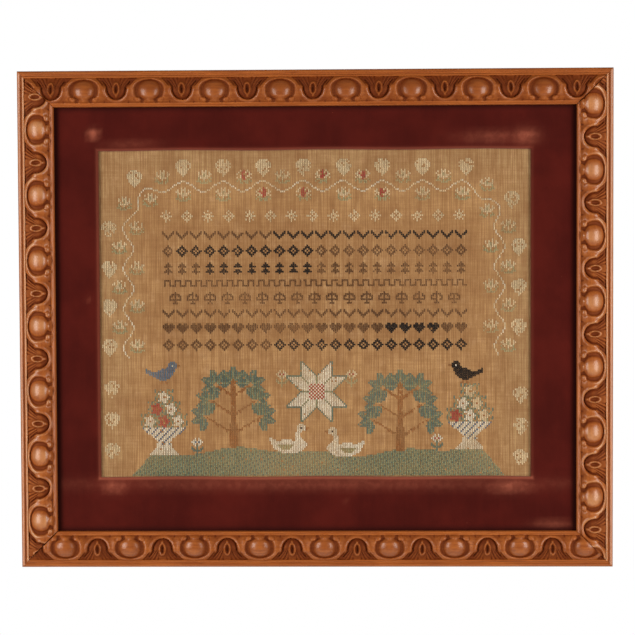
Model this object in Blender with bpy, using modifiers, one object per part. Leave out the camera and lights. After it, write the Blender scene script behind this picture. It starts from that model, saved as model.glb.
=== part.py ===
"""Framed cross stitch sampler, hung on a wall.

Four mitred lengths of carved moulding hold a stack in their rabbet: a velvet covered window mat,
the linen ground of the sampler and a backing board, kept in by brads driven into the rabbet wall.

Units are metres. +X runs to the right and +Z up as the needlework is seen, and the wall is at +Y.
The origin is on the flat back of the top rail, at the middle of its length: the wall plane is y = 0.
"""

import math

import bmesh
import bpy
from mathutils import Matrix, Vector

MM = 0.001

# Outer size of the frame, and where its centre lies below the wall mount.
FRAME_WIDTH = 594 * MM
FRAME_HEIGHT = 498 * MM
MOUNT_BELOW_TOP = 15 * MM
FRAME_CENTRE = Vector((0, 0, MOUNT_BELOW_TOP - FRAME_HEIGHT / 2))

# Cross-section of the moulding: distance in from the outer edge, height above the wall plane.
# A fillet and a bead run along the outer edge, then a bowed band, then the fillet at the sight edge.
RAIL_WIDTH = 36 * MM
RABBET_WALL = 30 * MM
LIP_UNDERSIDE = 11.8 * MM
OUTER_MOULDING = (
    (0, 15.2 * MM),
    (0.8 * MM, 16.8 * MM),
    (3.2 * MM, 17.6 * MM),
    (3.6 * MM, 16.4 * MM),
    (5.2 * MM, 16.4 * MM),
    (5.6 * MM, 17.6 * MM),
    (6.9 * MM, 17.6 * MM),
)
BAND_START = 7.4 * MM
BAND_END = 33.2 * MM
BAND_CREST = (22 * MM, 20.6 * MM)
BAND_BOW_RADIUS = 20 * MM
BAND_STEPS = 8
SIGHT_MOULDING = (
    (33.6 * MM, 17.5 * MM),
    (35.3 * MM, 17.3 * MM),
    (RAIL_WIDTH, 16.4 * MM),
    (RAIL_WIDTH, LIP_UNDERSIDE),
    (RABBET_WALL, LIP_UNDERSIDE),
    (RABBET_WALL, 0),
)

# Carving: eggs along the bowed band, with a leaf halfway between each two.
PATTERN_PITCH = 65.2 * MM
EGG_IN = 18.5 * MM
EGG_RADIUS = 10.4 * MM
EGG_RISE = 4.0 * MM
LEAF_IN = 17.5 * MM
LEAF_HALF_WIDTH = 8.0 * MM
LEAF_HALF_LENGTH = 8.5 * MM
LEAF_RISE = 1.4 * MM
MITRE_MARGIN = 1.0 * MM
CARVING_SEGMENTS = 16
CARVING_RINGS = 8

# One row for each rail: turn about Y, offset of the pattern from the rail's middle, and the open
# width of the mitre at the rail's left and right ends, as seen with that rail on top.
RAILS = {
    "rail_top": {"turn": 0, "egg_offset": 31.4 * MM, "mitres": (0.4 * MM, 0.7 * MM)},
    "rail_right": {"turn": 90, "egg_offset": -17.7 * MM, "mitres": (0.7 * MM, 0.3 * MM)},
    "rail_bottom": {"turn": 180, "egg_offset": -8.1 * MM, "mitres": (0.3 * MM, 0.8 * MM)},
    "rail_left": {"turn": 270, "egg_offset": -3.9 * MM, "mitres": (0.8 * MM, 0.4 * MM)},
}

# The stack in the rabbet, from the back forwards, with a small gap between neighbours.
FIT_GAP = 0.3 * MM
STACK_SIDE_GAP = 0.5 * MM
BRAD_RADIUS = 0.8 * MM
BRAD_BACK = 1.5 * MM
BACKING_BACK = BRAD_BACK + 2 * BRAD_RADIUS + FIT_GAP
BACKING_THICKNESS = 3.0 * MM
LINEN_BACK = BACKING_BACK + BACKING_THICKNESS + FIT_GAP
LINEN_THICKNESS = 1.0 * MM
MAT_BACK = LINEN_BACK + LINEN_THICKNESS + FIT_GAP
MAT_THICKNESS = LIP_UNDERSIDE - FIT_GAP - MAT_BACK

# The window in the mat is a little above the middle, so the lower margin is the widest.
WINDOW_WIDTH = 440 * MM
WINDOW_HEIGHT = 332 * MM
WINDOW_ABOVE_CENTRE = 5 * MM
MAT_EDGE_ROUNDING = 1.3 * MM
LINEN_TUCK = 7 * MM

# Brads: half of each is in the rail, the other half lies over the backing board.
BRAD_LENGTH = 14 * MM
BRAD_IN_RAIL = 7 * MM
BRAD_SIDES = 12
BRADS_LONG_RAIL = 4
BRADS_SHORT_RAIL = 3
BRAD_END_MARGIN = 90 * MM


def clear_scene():
    for thing in list(bpy.data.objects):
        bpy.data.objects.remove(thing)


def new_collection(name):
    made = bpy.data.collections.new(name)
    bpy.context.scene.collection.children.link(made)
    return made


def new_material(name, colour, roughness, metallic=0.0):
    made = bpy.data.materials.new(name)
    made.use_nodes = True
    shader = made.node_tree.nodes["Principled BSDF"]
    shader.inputs["Base Color"].default_value = (*colour, 1)
    shader.inputs["Roughness"].default_value = roughness
    shader.inputs["Metallic"].default_value = metallic
    return made


def object_from(bm, name, collection, parent, material=None):
    """The bmesh as an object under the empty at the frame's centre."""
    mesh = bpy.data.meshes.new(name)
    bm.to_mesh(mesh)
    bm.free()
    made = bpy.data.objects.new(name, mesh)
    if material:
        mesh.materials.append(material)
    made.parent = parent
    collection.objects.link(made)
    return made


def as_tool(thing):
    """A cutter or a shape to be joined, which isn't a piece of its own."""
    thing.hide_render = True
    thing.display_type = "WIRE"


def add_boolean(target, tool, operation):
    boolean = target.modifiers.new(tool.name, "BOOLEAN")
    boolean.operation = operation
    boolean.solver = "EXACT"
    boolean.object = tool


def add_box(bm, size, centre, turn=0.0):
    """A box of full size (x, y, z), turned about Y by radians."""
    place = Matrix.Translation(centre) @ Matrix.Rotation(turn, 4, "Y") @ Matrix.Diagonal((*size, 1))
    bmesh.ops.create_cube(bm, size=1, matrix=place)


def even_places(first, last, count):
    return [first + (last - first) * i / (count - 1) for i in range(count)]


def band_height(inwards):
    """Height of the bowed band at a distance in from the outer edge."""
    aside = inwards - BAND_CREST[0]
    return BAND_CREST[1] - BAND_BOW_RADIUS + math.sqrt(BAND_BOW_RADIUS ** 2 - aside ** 2)


def band_rise(inwards):
    """The angle at which the band rises inwards there."""
    return math.asin((BAND_CREST[0] - inwards) / BAND_BOW_RADIUS)


def section_corners():
    """The moulding's section, from the outer edge at the wall round to the rabbet."""
    band = [(inwards, band_height(inwards)) for inwards in even_places(BAND_START, BAND_END, BAND_STEPS + 1)]
    return [(0, 0), *OUTER_MOULDING, *band, *SIGHT_MOULDING]


def half_spans(turn):
    """Half the rail's length, and the frame centre's distance from the rail's outer edge."""
    if turn in (0, 180):
        return FRAME_WIDTH / 2, FRAME_HEIGHT / 2
    return FRAME_HEIGHT / 2, FRAME_WIDTH / 2


def brad_places(turn):
    half_length, _ = half_spans(turn)
    count = BRADS_LONG_RAIL if turn in (0, 180) else BRADS_SHORT_RAIL
    end = half_length - BRAD_END_MARGIN
    return even_places(-end, end, count)


def rail_blank(name, half_length, to_outer, collection, parent, material):
    """The moulding's section, drawn out along X with square ends."""
    bm = bmesh.new()
    corners = [
        bm.verts.new((-half_length, -height, to_outer - inwards)) for inwards, height in section_corners()
    ]
    section = bm.faces.new(corners)
    drawn = bmesh.ops.extrude_face_region(bm, geom=[section])
    moved = [part for part in drawn["geom"] if isinstance(part, bmesh.types.BMVert)]
    bmesh.ops.translate(bm, vec=(2 * half_length, 0, 0), verts=moved)
    bmesh.ops.recalc_face_normals(bm, faces=bm.faces)
    return object_from(bm, name, collection, parent, material)


def add_dome(bm, along, inwards, to_outer, half_along, half_across, rise):
    """An ellipsoid half sunk in the bowed band."""
    centre = Vector((along, -band_height(inwards), to_outer - inwards))
    place = Matrix.Translation(centre) @ Matrix.Rotation(-band_rise(inwards), 4, "X")
    place = place @ Matrix.Diagonal((half_along, rise, half_across, 1)) @ Matrix.Rotation(math.pi / 2, 4, "X")
    bmesh.ops.create_uvsphere(
        bm, u_segments=CARVING_SEGMENTS, v_segments=CARVING_RINGS, radius=1, matrix=place
    )


def clears_mitre(along, inwards, reach, half_length):
    """Whether a carved shape stays wholly on its own side of both mitres."""
    return (half_length - inwards - abs(along)) / math.sqrt(2) > reach + MITRE_MARGIN


def carving(name, half_length, to_outer, egg_offset, collection, parent):
    """The whole eggs and leaves of one rail, ready to be joined to its blank."""
    bm = bmesh.new()
    reach = math.ceil(half_length / PATTERN_PITCH)
    for step in range(-reach, reach + 1):
        egg_at = egg_offset + step * PATTERN_PITCH
        leaf_at = egg_at + PATTERN_PITCH / 2
        if clears_mitre(egg_at, EGG_IN, EGG_RADIUS, half_length):
            add_dome(bm, egg_at, EGG_IN, to_outer, EGG_RADIUS, EGG_RADIUS, EGG_RISE)
        if clears_mitre(leaf_at, LEAF_IN, LEAF_HALF_LENGTH, half_length):
            add_dome(bm, leaf_at, LEAF_IN, to_outer, LEAF_HALF_WIDTH, LEAF_HALF_LENGTH, LEAF_RISE)
    made = object_from(bm, name, collection, parent)
    as_tool(made)
    return made


def rail_cutter(name, half_length, to_outer, mitres, places, collection, parent):
    """The two mitre cuts and the brad holes of one rail."""
    bm = bmesh.new()
    size = 4 * RAIL_WIDTH
    for end, gap in zip((-1, 1), mitres):
        outwards = Vector((end, 0, -1)).normalized()
        corner = Vector((end * half_length, 0, to_outer))
        centre = corner + outwards * (size / 2 - gap / 2)
        add_box(bm, (size, size, size), centre, turn=end * math.pi / 4)
    hole_radius = BRAD_RADIUS + FIT_GAP
    hole_top = to_outer - RABBET_WALL + BRAD_IN_RAIL + FIT_GAP
    hole_length = BRAD_LENGTH + FIT_GAP
    for along in places:
        centre = (along, -BRAD_BACK - BRAD_RADIUS, hole_top - hole_length / 2)
        bmesh.ops.create_cone(
            bm, cap_ends=True, segments=BRAD_SIDES, radius1=hole_radius, radius2=hole_radius,
            depth=hole_length, matrix=Matrix.Translation(centre),
        )
    made = object_from(bm, name, collection, parent)
    as_tool(made)
    return made


def make_rail(name, facts, parts, tools, centre, wood, steel):
    """One length of moulding, mitred and carved, with its brads."""
    turn = math.radians(facts["turn"])
    half_length, to_outer = half_spans(facts["turn"])
    places = brad_places(facts["turn"])
    side = name.removeprefix("rail_")
    rail = rail_blank(name, half_length, to_outer, parts, centre, wood)
    carved = carving("carving_" + side, half_length, to_outer, facts["egg_offset"], tools, centre)
    cutter = rail_cutter("cuts_" + side, half_length, to_outer, facts["mitres"], places, tools, centre)
    for thing in (rail, carved, cutter):
        thing.rotation_euler.y = turn
    add_boolean(rail, cutter, "DIFFERENCE")
    add_boolean(rail, carved, "UNION")
    for number, along in enumerate(places, start=1):
        make_brad(f"brad_{side}_{number}", along, to_outer, turn, parts, centre, steel)


def make_brad(name, along, to_outer, turn, parts, centre, steel):
    """A headless nail lying across the edge of the backing board."""
    bm = bmesh.new()
    bmesh.ops.create_cone(
        bm, cap_ends=True, segments=BRAD_SIDES, radius1=BRAD_RADIUS, radius2=BRAD_RADIUS, depth=BRAD_LENGTH
    )
    brad = object_from(bm, name, parts, centre, steel)
    top = to_outer - RABBET_WALL + BRAD_IN_RAIL
    middle = Vector((along, -BRAD_BACK - BRAD_RADIUS, top - BRAD_LENGTH / 2))
    brad.location = Matrix.Rotation(turn, 3, "Y") @ middle
    brad.rotation_euler.y = turn


def make_sheet(name, width, height, back, thickness, above_centre, parts, centre, material):
    """A flat rectangular layer of the stack, standing at a height above the wall plane."""
    bm = bmesh.new()
    add_box(bm, (width, thickness, height), (0, -back - thickness / 2, above_centre))
    return object_from(bm, name, parts, centre, material)


def make_mat(width, height, parts, tools, centre, material):
    """The velvet covered board with its window, its edges rounded where the velvet turns over."""
    mat = make_sheet("mat_velvet", width, height, MAT_BACK, MAT_THICKNESS, 0, parts, centre, material)
    window = make_sheet(
        "cut_window", WINDOW_WIDTH, WINDOW_HEIGHT, MAT_BACK - MAT_THICKNESS, 3 * MAT_THICKNESS,
        WINDOW_ABOVE_CENTRE, tools, centre, None,
    )
    as_tool(window)
    add_boolean(mat, window, "DIFFERENCE")
    rounding = mat.modifiers.new("rounded edges", "BEVEL")
    rounding.width = MAT_EDGE_ROUNDING
    rounding.segments = 3
    rounding.limit_method = "ANGLE"


def main():
    clear_scene()
    parts = new_collection("framed_cross_stitch_sampler")
    tools = new_collection("cutters")
    wood = new_material("varnished carved wood", (0.30, 0.11, 0.035), 0.35)
    velvet = new_material("burgundy velvet", (0.08, 0.010, 0.007), 0.95)
    linen = new_material("aged linen", (0.34, 0.19, 0.085), 0.9)
    board = new_material("grey board", (0.30, 0.25, 0.19), 0.9)
    steel = new_material("steel", (0.35, 0.34, 0.33), 0.45, metallic=1.0)

    centre = bpy.data.objects.new("frame_centre", None)
    centre.location = FRAME_CENTRE
    parts.objects.link(centre)

    for name, facts in RAILS.items():
        make_rail(name, facts, parts, tools, centre, wood, steel)

    stack_width = FRAME_WIDTH - 2 * (RABBET_WALL + STACK_SIDE_GAP)
    stack_height = FRAME_HEIGHT - 2 * (RABBET_WALL + STACK_SIDE_GAP)
    make_mat(stack_width, stack_height, parts, tools, centre, velvet)
    make_sheet(
        "linen_ground", WINDOW_WIDTH + 2 * LINEN_TUCK, WINDOW_HEIGHT + 2 * LINEN_TUCK,
        LINEN_BACK, LINEN_THICKNESS, WINDOW_ABOVE_CENTRE, parts, centre, linen,
    )
    make_sheet(
        "backing_board", stack_width, stack_height, BACKING_BACK, BACKING_THICKNESS, 0, parts, centre, board
    )


main()
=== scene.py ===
# %% [markdown]
# # A framed cross stitch sampler
#
# The object is a flat piece of stitched linen behind a velvet window mat, in a carved and varnished wooden
# frame that hangs on a wall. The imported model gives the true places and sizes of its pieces. This lesson
# makes what the eye sees: the carved moulding, the velvet, the linen and over thirteen thousand stitches.

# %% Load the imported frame
import math
import random

import bmesh
import bpy
import numpy as np
from mathutils import Matrix, Vector


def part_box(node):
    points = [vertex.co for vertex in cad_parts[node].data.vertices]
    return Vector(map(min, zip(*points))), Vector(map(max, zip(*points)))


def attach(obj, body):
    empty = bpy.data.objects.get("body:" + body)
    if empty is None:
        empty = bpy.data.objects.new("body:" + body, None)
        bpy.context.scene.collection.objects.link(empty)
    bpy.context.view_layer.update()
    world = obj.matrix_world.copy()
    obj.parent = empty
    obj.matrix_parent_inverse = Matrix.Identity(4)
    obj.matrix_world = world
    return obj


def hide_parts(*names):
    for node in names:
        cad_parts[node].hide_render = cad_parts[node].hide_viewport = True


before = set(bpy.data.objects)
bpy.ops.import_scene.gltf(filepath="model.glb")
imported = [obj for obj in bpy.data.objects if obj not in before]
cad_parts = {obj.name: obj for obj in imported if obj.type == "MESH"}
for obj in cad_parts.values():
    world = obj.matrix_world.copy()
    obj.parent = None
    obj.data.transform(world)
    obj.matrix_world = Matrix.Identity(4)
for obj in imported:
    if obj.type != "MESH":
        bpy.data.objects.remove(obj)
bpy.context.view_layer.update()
MM = 0.001
random.seed(18)

# %% [markdown]
# ## The camera
#
# A picture frame is photographed almost square on, from a little right of its middle. A long lens keeps its
# four sides nearly parallel. The place and turn were solved from the four outer corners and the four
# sight corners of the frame, so the frame fills the picture as it does in the photograph.

# %% Camera
CAMERA_PLACE = (0.0395, -1.7781, -0.1621)
CAMERA_TURN = (87.728, 0.262, 1.202)

camera = bpy.data.objects.new("camera", bpy.data.cameras.new("camera"))
camera.data.lens = 100
camera.data.sensor_width = 36
camera.location = CAMERA_PLACE
camera.rotation_euler = [math.radians(angle) for angle in CAMERA_TURN]
bpy.context.collection.objects.link(camera)
bpy.context.scene.camera = camera
bpy.context.scene.view_settings.view_transform = "Standard"

# %% [markdown]
# ## The light
#
# Two soft boxes, one at each side, are the usual light for copying a framed picture: neither reflects
# straight into the lens, and each rail throws a narrow shadow on the mat beside it. A third one lights the
# back. The white surround is seen by the camera at full strength, but lights the scene only weakly, so that
# the carving keeps its shadows. The floor gets the same help, a glow that only the camera sees.

# %% Lights, surround and floor
FRAME_CENTRE = Vector((0, 0, -0.234))


def add_soft_box(name, place, watts, width, height):
    """A rectangular light aimed at the middle of the frame."""
    light = bpy.data.lights.new(name, "AREA")
    light.shape = "RECTANGLE"
    light.size = width
    light.size_y = height
    light.energy = watts
    lamp = bpy.data.objects.new(name, light)
    lamp.location = place
    lamp.rotation_euler = (FRAME_CENTRE - Vector(place)).to_track_quat("-Z", "Y").to_euler()
    bpy.context.collection.objects.link(lamp)


add_soft_box("soft_box_left", (-1.2, -1.0, -0.2), 21, 0.75, 1.5)
add_soft_box("soft_box_right", (1.2, -1.0, -0.2), 21, 0.75, 1.5)
add_soft_box("soft_box_behind", (0, 1.5, 0.4), 16, 0.9, 0.9)

world = bpy.data.worlds.new("white_surround")
bpy.context.scene.world = world
world.use_nodes = True
surround = world.node_tree.nodes["Background"]
surround.inputs["Color"].default_value = (1, 1, 1, 1)
seen = world.node_tree.nodes.new("ShaderNodeLightPath")
strength = world.node_tree.nodes.new("ShaderNodeMapRange")
strength.inputs["To Min"].default_value = 0.10
strength.inputs["To Max"].default_value = 1.0
world.node_tree.links.new(seen.outputs["Is Camera Ray"], strength.inputs["Value"])
world.node_tree.links.new(strength.outputs["Result"], surround.inputs["Strength"])

FLOOR_HEIGHT = -1.45
floor_shape = bmesh.new()
bmesh.ops.create_grid(floor_shape, x_segments=1, y_segments=1, size=1.6,
                      matrix=Matrix.Translation((0, 0, FLOOR_HEIGHT)))
floor = bpy.data.objects.new("floor", bpy.data.meshes.new("floor"))
floor_shape.to_mesh(floor.data)
floor_shape.free()
pale = bpy.data.materials.new("pale_floor")
pale.use_nodes = True
floor_shader = pale.node_tree.nodes["Principled BSDF"]
floor_shader.inputs["Base Color"].default_value = (0.8, 0.8, 0.78, 1)
floor_shader.inputs["Roughness"].default_value = 0.9
floor_shader.inputs["Emission Strength"].default_value = 0.62
seen = pale.node_tree.nodes.new("ShaderNodeLightPath")
pale.node_tree.links.new(seen.outputs["Is Camera Ray"], floor_shader.inputs["Emission Color"])
floor.data.materials.append(pale)
bpy.context.collection.objects.link(floor)

# %% [markdown]
# ## Small helpers for shader trees
#
# Every finish here is a tree of shader nodes. These helpers make a node and fill its sockets in one line,
# where a socket takes a plain value or the output of another node. Values painted on the points of a mesh
# tell a finish where it is worn, deep or faded, and where painted shade or painted highlight lies on it.

# %% Node helpers
def fill(tree, made, sockets):
    """Gives each named socket of a node a plain value or a link."""
    for socket, value in sockets.items():
        if isinstance(value, bpy.types.NodeSocket):
            tree.links.new(value, made.inputs[socket])
        else:
            made.inputs[socket].default_value = value


def node(tree, kind, sockets=None, **settings):
    """Adds a shader node, sets its options, and fills or links its sockets."""
    made = tree.nodes.new("ShaderNode" + kind)
    for option, value in settings.items():
        setattr(made, option, value)
    fill(tree, made, sockets or {})
    return made


def sum_up(tree, operation, first, second=0.0):
    """The output of a Math node."""
    return node(tree, "Math", {0: first, 1: second}, operation=operation).outputs[0]


def ramp(tree, value, low, high, to_low=0.0, to_high=1.0):
    """Spreads values from low to high smoothly over another range."""
    return node(tree, "MapRange", {
        "Value": value, "From Min": low, "From Max": high, "To Min": to_low, "To Max": to_high,
    }, interpolation_type="SMOOTHSTEP").outputs["Result"]


def blend_colour(tree, share, first, second):
    """Mixes two colours, where each is a colour or a socket."""
    first, second = (c if isinstance(c, bpy.types.NodeSocket) else (*c, 1) for c in (first, second))
    return node(tree, "Mix", {0: share, 6: first, 7: second}, data_type="RGBA").outputs[2]


def tint(tree, mask, strength, under, colour):
    """Lays a colour over the one under it where a mask is, at a part of the mask's strength."""
    return blend_colour(tree, sum_up(tree, "MULTIPLY", mask, strength), under, colour)


def painted(tree, name):
    """The value of an attribute that the mesh carries."""
    return node(tree, "Attribute", attribute_name=name).outputs["Fac"]


def paint(mesh, name, values):
    """Gives each point of a mesh a value that a finish can read."""
    mesh.attributes.new(name, "FLOAT", "POINT").data.foreach_set("value", values)


def object_place(tree):
    """Where a point lies on the object, whatever the camera does."""
    return node(tree, "TexCoord").outputs["Object"]


def seen_colour(red, green, blue):
    """A colour from 0 to 255 as a screen shows it, as the linear colour that shaders use."""
    return tuple(
        c / 255 / 12.92 if c <= 10 else ((c / 255 + 0.055) / 1.055) ** 2.4 for c in (red, green, blue)
    )


def new_effect(name, inputs, outputs):
    """A node group with named inputs and outputs, and the two nodes that stand for them."""
    group = bpy.data.node_groups.new(name, "ShaderNodeTree")
    for label, kind, default in inputs:
        socket = group.interface.new_socket(label, in_out="INPUT", socket_type="NodeSocket" + kind)
        if default is not None:
            socket.default_value = default
    for label in outputs:
        group.interface.new_socket(label, in_out="OUTPUT", socket_type="NodeSocketFloat")
    return group, group.nodes.new("NodeGroupInput"), group.nodes.new("NodeGroupOutput")


def place_effect(tree, group, sockets):
    """Puts a group into a tree."""
    return node(tree, "Group", sockets, node_tree=group).outputs


def new_finish(name, **shader_values):
    """A material with constants set on its Principled shader. Returns it, its tree and the shader."""
    made = bpy.data.materials.new(name)
    made.use_nodes = True
    shader = made.node_tree.nodes["Principled BSDF"]
    for socket, value in shader_values.items():
        shader.inputs[socket.replace("_", " ")].default_value = value
    return made, made.node_tree, shader


def bump(tree, height, distance, strength, shader):
    """Joins a height to the shader's normal."""
    made = node(tree, "Bump", {"Height": height, "Distance": distance, "Strength": strength})
    tree.links.new(made.outputs["Normal"], shader.inputs["Normal"])


# %% [markdown]
# ## Effects that several finishes share
#
# Patches of dirt, wear and fading have the same cause, uneven handling, so one group makes them all: a
# soft noise, cut to patches. Wood needs long streaks and short dark pores along the grain. Cloth needs
# threads that pass over and under each other, and threads that are thicker or darker than their neighbours.

# %% Shader groups: patches, wood grain, weave and stitch tone
patches, given, result = new_effect(
    "uneven patches",
    [("Vector", "Vector", None), ("Scale", "Float", 20.0), ("Start", "Float", 0.45), ("Full", "Float", 0.65)],
    ["Mask"],
)
cloud = node(patches, "TexNoise", {"Vector": given.outputs["Vector"], "Scale": given.outputs["Scale"],
                                   "Detail": 5.0, "Roughness": 0.6})
cut = node(patches, "MapRange", {"Value": cloud.outputs["Fac"], "From Min": given.outputs["Start"],
                                 "From Max": given.outputs["Full"]}, interpolation_type="SMOOTHSTEP")
patches.links.new(cut.outputs["Result"], result.inputs["Mask"])

grain, given, result = new_effect("wood grain", [("Vector", "Vector", None)], ["Streak", "Pore"])
drawn = node(grain, "Mapping", {"Vector": given.outputs["Vector"], "Scale": (0.05, 1.0, 1.0)})
streak = node(grain, "TexNoise", {"Vector": drawn.outputs["Vector"], "Scale": 420.0, "Detail": 5.0,
                                  "Roughness": 0.62, "Distortion": 0.4})
fine = node(grain, "Mapping", {"Vector": given.outputs["Vector"], "Scale": (0.07, 1.0, 1.0)})
pore = node(grain, "TexNoise", {"Vector": fine.outputs["Vector"], "Scale": 1500.0, "Detail": 1.0})
grain.links.new(ramp(grain, streak.outputs["Fac"], 0.3, 0.7), result.inputs["Streak"])
grain.links.new(ramp(grain, pore.outputs["Fac"], 0.62, 0.72), result.inputs["Pore"])

weave, given, result = new_effect(
    "even weave", [("Vector", "Vector", None), ("Pitch", "Float", 0.000875)],
    ["Height", "Gap", "Column", "Warp", "Weft"],
)
axes = node(weave, "SeparateXYZ", {"Vector": given.outputs["Vector"]})
across = sum_up(weave, "DIVIDE", axes.outputs["X"], given.outputs["Pitch"])
upward = sum_up(weave, "DIVIDE", axes.outputs["Z"], given.outputs["Pitch"])
warp = sum_up(weave, "ABSOLUTE", sum_up(weave, "SINE", sum_up(weave, "MULTIPLY", across, math.pi)))
weft = sum_up(weave, "ABSOLUTE", sum_up(weave, "SINE", sum_up(weave, "MULTIPLY", upward, math.pi)))
turn = sum_up(weave, "ADD", sum_up(weave, "FLOOR", across), sum_up(weave, "FLOOR", upward))
over = sum_up(weave, "FLOORED_MODULO", turn, 2.0)
under = sum_up(weave, "SUBTRACT", 1.0, over)
warp_height = sum_up(weave, "MULTIPLY", warp, ramp(weave, over, 0.0, 1.0, 0.55, 1.0))
weft_height = sum_up(weave, "MULTIPLY", weft, ramp(weave, under, 0.0, 1.0, 0.55, 1.0))
top_thread = sum_up(weave, "MAXIMUM", warp_height, weft_height)
weave.links.new(top_thread, result.inputs["Height"])
weave.links.new(ramp(weave, top_thread, 0.5, 0.2), result.inputs["Gap"])
paired = sum_up(weave, "SINE", sum_up(weave, "MULTIPLY", across, math.pi / 2))
weave.links.new(ramp(weave, sum_up(weave, "ABSOLUTE", paired), 0.75, 0.15), result.inputs["Column"])
for label, stretch in (("Warp", (1.0, 1.0, 0.04)), ("Weft", (0.04, 1.0, 1.0))):
    threads = node(weave, "Mapping", {"Vector": given.outputs["Vector"], "Scale": stretch})
    slub = node(weave, "TexNoise", {"Vector": threads.outputs["Vector"], "Scale": 520.0, "Detail": 4.0,
                                    "Roughness": 0.7})
    weave.links.new(ramp(weave, slub.outputs["Fac"], 0.36, 0.64), result.inputs[label])

stitch_tone, given, result = new_effect(
    "stitch tone", [("Vector", "Vector", None), ("Pitch", "Float", 0.00175)], ["Tone", "Twist"]
)
axes = node(stitch_tone, "SeparateXYZ", {"Vector": given.outputs["Vector"]})
across = sum_up(stitch_tone, "DIVIDE", axes.outputs["X"], given.outputs["Pitch"])
upward = sum_up(stitch_tone, "DIVIDE", axes.outputs["Z"], given.outputs["Pitch"])
square = {"X": sum_up(stitch_tone, "FLOOR", across), "Y": sum_up(stitch_tone, "FLOOR", upward)}
cell = node(stitch_tone, "CombineXYZ", square)
dye = node(stitch_tone, "TexWhiteNoise", {"Vector": cell.outputs["Vector"]}, noise_dimensions="2D")
ply = node(stitch_tone, "TexNoise", {"Vector": given.outputs["Vector"], "Scale": 4200.0, "Detail": 1.0})
stitch_tone.links.new(dye.outputs["Value"], result.inputs["Tone"])
stitch_tone.links.new(ply.outputs["Fac"], result.inputs["Twist"])
print("shader groups:", [group.name for group in bpy.data.node_groups])

# %% [markdown]
# ## The finish of the frame
#
# The frame is an orange brown fruitwood under an old varnish. Varnish and dust have settled in the cut
# parts, so hollows are dark and dull, and crests have been rubbed to a paler, glossier wood. The mesh
# carries how deep each point lies in the carving in an attribute named hollow. The same attribute carries
# painted shade, which darkens the level rails and the top rail most, and painted highlight, which pales
# the upright rails' egg tops, bead and outer fillet. The grain runs along each rail, so the two upright
# rails turn the pattern by a quarter. The back and the rabbet are bare wood.

# %% Varnished wood
WOOD_LIGHT = seen_colour(177, 97, 40)
WOOD_DARK = seen_colour(146, 72, 26)
WOOD_HOLLOW = seen_colour(98, 34, 4)
# Rubbed crest colour; on the upright rails' egg tops, bead and outer fillet it is also a painted highlight.
WOOD_WORN_CREST_AND_HIGHLIGHT = seen_colour(217, 157, 106)
WOOD_BARE = seen_colour(172, 138, 102)
WOOD_RAW_STREAK = seen_colour(128, 92, 60)
VARNISH_ENDS = (-0.010, -0.002)


def varnished_wood(name, upright):
    """The frame's finish, with its grain along X or, for an upright rail, along Z."""
    made, tree, shader = new_finish(
        name, IOR=1.5, Specular_IOR_Level=0.3, Specular_Tint=(1.0, 0.72, 0.45, 1.0), Coat_Roughness=0.28,
    )
    place = object_place(tree)
    turned = (0, math.pi / 2, 0) if upright else (0, 0, 0)
    along = node(tree, "Mapping", {"Vector": place, "Rotation": turned}).outputs["Vector"]
    wood = place_effect(tree, grain, {"Vector": along})
    hollow = painted(tree, "hollow")
    clouds = place_effect(tree, patches, {"Vector": along, "Scale": 14.0, "Start": 0.35, "Full": 0.7})
    colour = blend_colour(tree, wood["Streak"], WOOD_LIGHT, WOOD_DARK)
    colour = tint(tree, clouds["Mask"], 0.35, colour, WOOD_DARK)
    colour = tint(tree, wood["Pore"], 0.4, colour, WOOD_HOLLOW)
    # Dark where hollow is high: dust and varnish, and on the level rails painted shade. Pale where it is low:
    # rubbed crests, and on the upright eggs, bead and fillet a painted highlight.
    colour = blend_colour(tree, ramp(tree, hollow, 0.44, 0.85, 0.0, 0.95), colour, WOOD_HOLLOW)
    colour = blend_colour(tree, ramp(tree, hollow, 0.40, 0.10, 0.0, 0.6), colour, WOOD_WORN_CREST_AND_HIGHLIGHT)
    depth = node(tree, "SeparateXYZ", {"Vector": place}).outputs["Y"]
    bare = ramp(tree, depth, *VARNISH_ENDS)
    raw = tint(tree, wood["Streak"], 0.75, WOOD_BARE, WOOD_RAW_STREAK)
    raw = tint(tree, clouds["Mask"], 0.5, raw, WOOD_RAW_STREAK)
    colour = blend_colour(tree, bare, colour, raw)
    tree.links.new(colour, shader.inputs["Base Color"])
    dulled = painted(tree, "dulled")
    gloss = ramp(tree, dulled, 0.25, 0.7, 0.36, 0.7)
    dull = sum_up(tree, "MAXIMUM", gloss, sum_up(tree, "MULTIPLY", bare, 0.85))
    tree.links.new(dull, shader.inputs["Roughness"])
    coat = ramp(tree, dulled, 0.34, 0.56, 0.8, 0.0)
    varnish = sum_up(tree, "MULTIPLY", ramp(tree, bare, 0.0, 0.5, 1.0, 0.0), coat)
    tree.links.new(varnish, shader.inputs["Coat Weight"])
    relief_height = sum_up(tree, "ADD", sum_up(tree, "MULTIPLY", wood["Streak"], 0.5),
                           sum_up(tree, "MULTIPLY", wood["Pore"], -0.6))
    bump(tree, relief_height, 0.00008, 0.4, shader)
    return made


wood_level = varnished_wood("varnished_wood_level", upright=False)
wood_upright = varnished_wood("varnished_wood_upright", upright=True)

# %% [markdown]
# ## The carved moulding
#
# A carver works a run of moulding with a repeat: an egg in its husk, then a leaf. One rule says how high
# the wood stands at each point of the repeat, in millimetres, from the distance along the rail and the
# distance in from the outer edge. Shapes are joined the way a carver thinks of them: the ground is sunk,
# and then eggs, husks, curls and leaves stand up from it, and veins and the eye of the leaf are cut in.

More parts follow.
